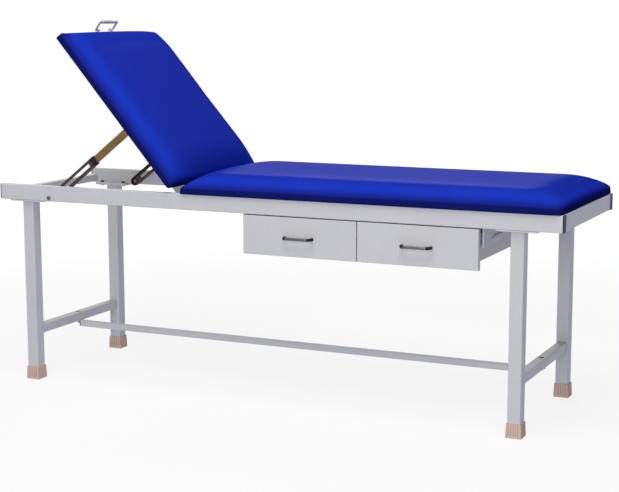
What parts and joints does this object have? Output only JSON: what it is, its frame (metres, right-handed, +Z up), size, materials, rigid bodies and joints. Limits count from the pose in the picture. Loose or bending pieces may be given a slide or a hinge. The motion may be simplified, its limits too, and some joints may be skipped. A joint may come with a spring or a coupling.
{
  "type": "examination table",
  "caption": "Clinic examination table: padded vinyl seat, raising backrest on ratchet struts, tubular steel frame with rubber feet, and drawers under the seat.",
  "frame": {"origin": "on the floor, at the middle of the table's overall length and overall depth", "axes": "+X along the table from the head end to the foot end, +Y from the drawer side to the rear side, +Z up"},
  "size_m": [1.906, 0.603, 1.1882],
  "materials": {
    "powder_coat": "satin powder coat",
    "black_plastic": "matt",
    "tan_rubber": "matt",
    "zinc_steel": "zinc plated",
    "dark_zinc": "dark passivated zinc",
    "yellow_zinc": "yellow zinc",
    "plywood": "raw",
    "blue_vinyl": "glossy vinyl",
    "white_nylon": "matt",
    "pull_metal": "dark satin"
  },
  "bodies": {
    "frame": {"front_long_rail": "powder_coat", "rear_long_rail": "powder_coat", "head_end_rail": "powder_coat", "foot_end_rail": "powder_coat", "hinge_cross_rail": "powder_coat", "seat_bearer_head": "powder_coat", "seat_bearer_middle": "powder_coat", "seat_bearer_foot": "powder_coat", "front_head_leg": "powder_coat", "rear_head_leg": "powder_coat", "front_foot_leg": "powder_coat", "rear_foot_leg": "powder_coat", "leg_plates": "powder_coat", "leg_lugs": "powder_coat", "head_cross_stretcher": "powder_coat", "foot_cross_stretcher": "powder_coat", "long_stretcher": "powder_coat", "hinge_ears": "powder_coat", "drawer_hanger_head": "powder_coat", "drawer_hanger_middle": "powder_coat", "drawer_hanger_foot": "powder_coat", "rail_end_plugs": "black_plastic", "stretcher_plugs": "black_plastic", "front_head_foot": "tan_rubber", "rear_head_foot": "tan_rubber", "front_foot_foot": "tan_rubber", "rear_foot_foot": "tan_rubber", "leg_bolts": "zinc_steel", "leg_nuts": "zinc_steel", "stretcher_bolts": "zinc_steel", "seat_screws": "zinc_steel", "hinge_pins": "zinc_steel", "strut_pivot_bolts": "zinc_steel", "seat_board": "plywood", "seat_cushion": "blue_vinyl", "drawer_runners": "white_nylon"},
    "backrest": {"backrest_board": "plywood", "backrest_cushion": "blue_vinyl", "front_backrest_bearer": "powder_coat", "rear_backrest_bearer": "powder_coat", "bearer_screws": "zinc_steel", "handle_straps": "zinc_steel", "strap_screws": "zinc_steel"},
    "handle": {"handle_bail": "zinc_steel"},
    "front_strut": {"front_strut_channel": "dark_zinc", "front_strut_catch": "dark_zinc"},
    "front_strut_slider": {"front_strut_bar": "yellow_zinc", "front_strut_top_pin": "zinc_steel"},
    "rear_strut": {"rear_strut_channel": "dark_zinc", "rear_strut_catch": "dark_zinc"},
    "rear_strut_slider": {"rear_strut_bar": "yellow_zinc", "rear_strut_top_pin": "zinc_steel"},
    "left_drawer": {"left_drawer_front": "powder_coat", "left_drawer_tray": "powder_coat", "left_drawer_pull": "pull_metal", "left_drawer_screws": "zinc_steel"},
    "right_drawer": {"right_drawer_front": "powder_coat", "right_drawer_tray": "powder_coat", "right_drawer_pull": "pull_metal", "right_drawer_screws": "zinc_steel"}
  },
  "joints": [
    {"name": "backrest_hinge", "type": "hinge", "parent": "frame", "child": "backrest", "pos_m": [-0.2894, 0.007, 0.6655], "axis": [0, 1, 0], "range_deg": [-49.1, 0]},
    {"name": "handle_swing", "type": "hinge", "parent": "backrest", "child": "handle", "pos_m": [-0.71715, 0.007, 1.15625], "axis": [0, 1, 0], "range_deg": [-110, 0]},
    {"name": "front_strut_pivot", "type": "hinge", "parent": "frame", "child": "front_strut", "pos_m": [-0.761, -0.2405, 0.6165], "axis": [0, 1, 0], "range_deg": [-0.1, 33.06]},
    {"name": "front_strut_slide", "type": "slide", "parent": "front_strut", "child": "front_strut_slider", "axis": [0.7855, 0, 0.6189], "range_m": [-0.14261, 0.0002]},
    {"name": "rear_strut_pivot", "type": "hinge", "parent": "frame", "child": "rear_strut", "pos_m": [-0.761, 0.2545, 0.6165], "axis": [0, 1, 0], "range_deg": [-0.1, 33.06]},
    {"name": "rear_strut_slide", "type": "slide", "parent": "rear_strut", "child": "rear_strut_slider", "axis": [0.7855, 0, 0.6189], "range_m": [-0.14261, 0.0002]},
    {"name": "left_drawer_slide", "type": "slide", "parent": "frame", "child": "left_drawer", "axis": [0, -1, 0], "range_m": [0, 0.3]},
    {"name": "right_drawer_slide", "type": "slide", "parent": "frame", "child": "right_drawer", "axis": [0, -1, 0], "range_m": [0, 0.3]}
  ],
  "couplings": [
    {"joint": "front_strut_pivot", "follows": "backrest_hinge", "ratio": -0.67126},
    {"joint": "front_strut_slide", "follows": "backrest_hinge", "m_per_rad": 0.16618},
    {"joint": "rear_strut_pivot", "follows": "backrest_hinge", "ratio": -0.67126},
    {"joint": "rear_strut_slide", "follows": "backrest_hinge", "m_per_rad": 0.16618}
  ]
}
